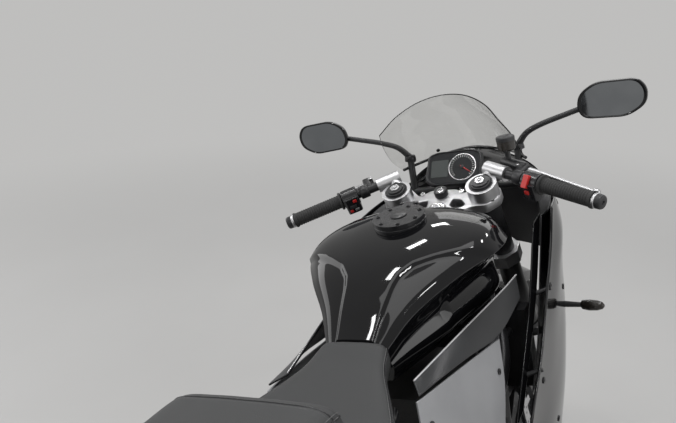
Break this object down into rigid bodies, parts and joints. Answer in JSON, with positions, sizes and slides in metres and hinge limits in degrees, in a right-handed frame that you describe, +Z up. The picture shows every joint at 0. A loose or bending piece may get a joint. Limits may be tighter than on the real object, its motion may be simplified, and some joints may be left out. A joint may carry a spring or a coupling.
{
  "type": "sport bike",
  "caption": "Faired sport motorcycle leaning on its side stand, with low clip-on bars, raised tail, steering, turning wheels and folding stand.",
  "frame": {"origin": "centre of the bounding box's base, on the ground under the bike", "axes": "+X forward, +Y to the rider's left, +Z up; the bike leans to its left, as parked"},
  "size_m": [2.078, 0.8684, 1.1882],
  "materials": {
    "tyre": "matt tread",
    "rim_black": "satin black",
    "disc_steel": "brushed",
    "steel": "bright",
    "chrome": "polished",
    "fork_black": "black anodised",
    "cast_silver": "cast silver",
    "black_metal": "satin black",
    "frame_grey": "satin dark grey",
    "engine_grey": "satin dark grey",
    "grip_rubber": "ribbed",
    "black_plastic": "grained",
    "dark_panel": "dark grey",
    "gloss_black": "gloss black",
    "tank_black": "deep gloss black",
    "silver_panel": "satin silver",
    "pad_cover": "matt dark grey cover",
    "clear_screen": "light smoke",
    "lamp_clear": "clear lens",
    "amber_lens": "smoked lens",
    "red_lens": "red lens",
    "exhaust_steel": "heat tinted",
    "spring_black": "black spring",
    "chain_steel": "oiled"
  },
  "bodies": {
    "chassis": {"belly_pan": "gloss_black", "chain": "chain_steel", "cockpit_panels": "black_plastic", "dark_side_panels": "dark_panel", "engine": "engine_grey", "exhaust_headers": "exhaust_steel", "fairing_stay": "black_metal", "footrests": "cast_silver", "frame_left": "frame_grey", "frame_right": "frame_grey", "fuel_tank": "tank_black", "head_tube": "frame_grey", "headlamps": "lamp_clear", "indicators": "amber_lens", "instrument": "black_plastic", "mirrors": "gloss_black", "nose_cowl": "gloss_black", "panel_brackets": "black_metal", "pillion_seat": "pad_cover", "plate_hanger": "black_plastic", "radiator": "black_metal", "rear_axle": "steel", "rear_caliper": "black_metal", "rear_hugger": "black_plastic", "rear_shock": "spring_black", "rider_seat": "pad_cover", "shock_mounts": "frame_grey", "side_fairing_left": "gloss_black", "side_fairing_right": "gloss_black", "silencer": "exhaust_steel", "silver_side_panels": "silver_panel", "stand_bracket": "black_metal", "subframe": "frame_grey", "swingarm": "frame_grey", "swingarm_pivot": "steel", "tail_cowl": "gloss_black", "tail_light": "red_lens", "windscreen": "clear_screen"},
    "steering": {"bottom_yoke": "cast_silver", "clip_ons": "cast_silver", "fork_lowers": "chrome", "fork_outer_tubes": "fork_black", "front_axle": "steel", "front_calipers": "black_metal", "front_mudguard": "gloss_black", "grips": "grip_rubber", "hand_levers": "cast_silver", "handlebars": "black_metal", "stem_nut_and_lock": "chrome", "switchgear": "black_plastic", "top_yoke": "cast_silver"},
    "front_wheel": {"front_discs": "disc_steel", "front_tyre": "tyre", "front_wheel": "rim_black"},
    "rear_wheel": {"rear_disc": "disc_steel", "rear_sprocket": "steel", "rear_tyre": "tyre", "rear_wheel": "rim_black"},
    "side_stand": {"side_stand": "black_metal"},
    "filler_lid": {"fuel_cap": "cast_silver"}
  },
  "joints": [
    {"name": "steering_turn", "type": "hinge", "parent": "chassis", "child": "steering", "pos_m": [0.45524, -0.0565, 0.81244], "axis": [-0.403, 0.198, 0.8935], "range_deg": [-27, 27]},
    {"name": "front_wheel_spin", "type": "hinge", "parent": "steering", "child": "front_wheel", "pos_m": [0.73898, -0.17132, 0.29436], "axis": [-0.0001, 0.9763, -0.2164], "continuous": true},
    {"name": "rear_wheel_spin", "type": "hinge", "parent": "chassis", "child": "rear_wheel", "pos_m": [-0.68701, -0.16807, 0.30981], "axis": [-0.0001, 0.9763, -0.2164], "continuous": true},
    {"name": "side_stand_fold", "type": "hinge", "parent": "chassis", "child": "side_stand", "pos_m": [-0.01407, -0.05804, 0.20514], "axis": [0, 0.925, 0.38], "range_deg": [0, 95]},
    {"name": "filler_lid_open", "type": "hinge", "parent": "chassis", "child": "filler_lid", "pos_m": [0.28286, -0.02456, 0.9566], "axis": [-0.0001, 0.9763, -0.2164], "range_deg": [0, 80]}
  ]
}
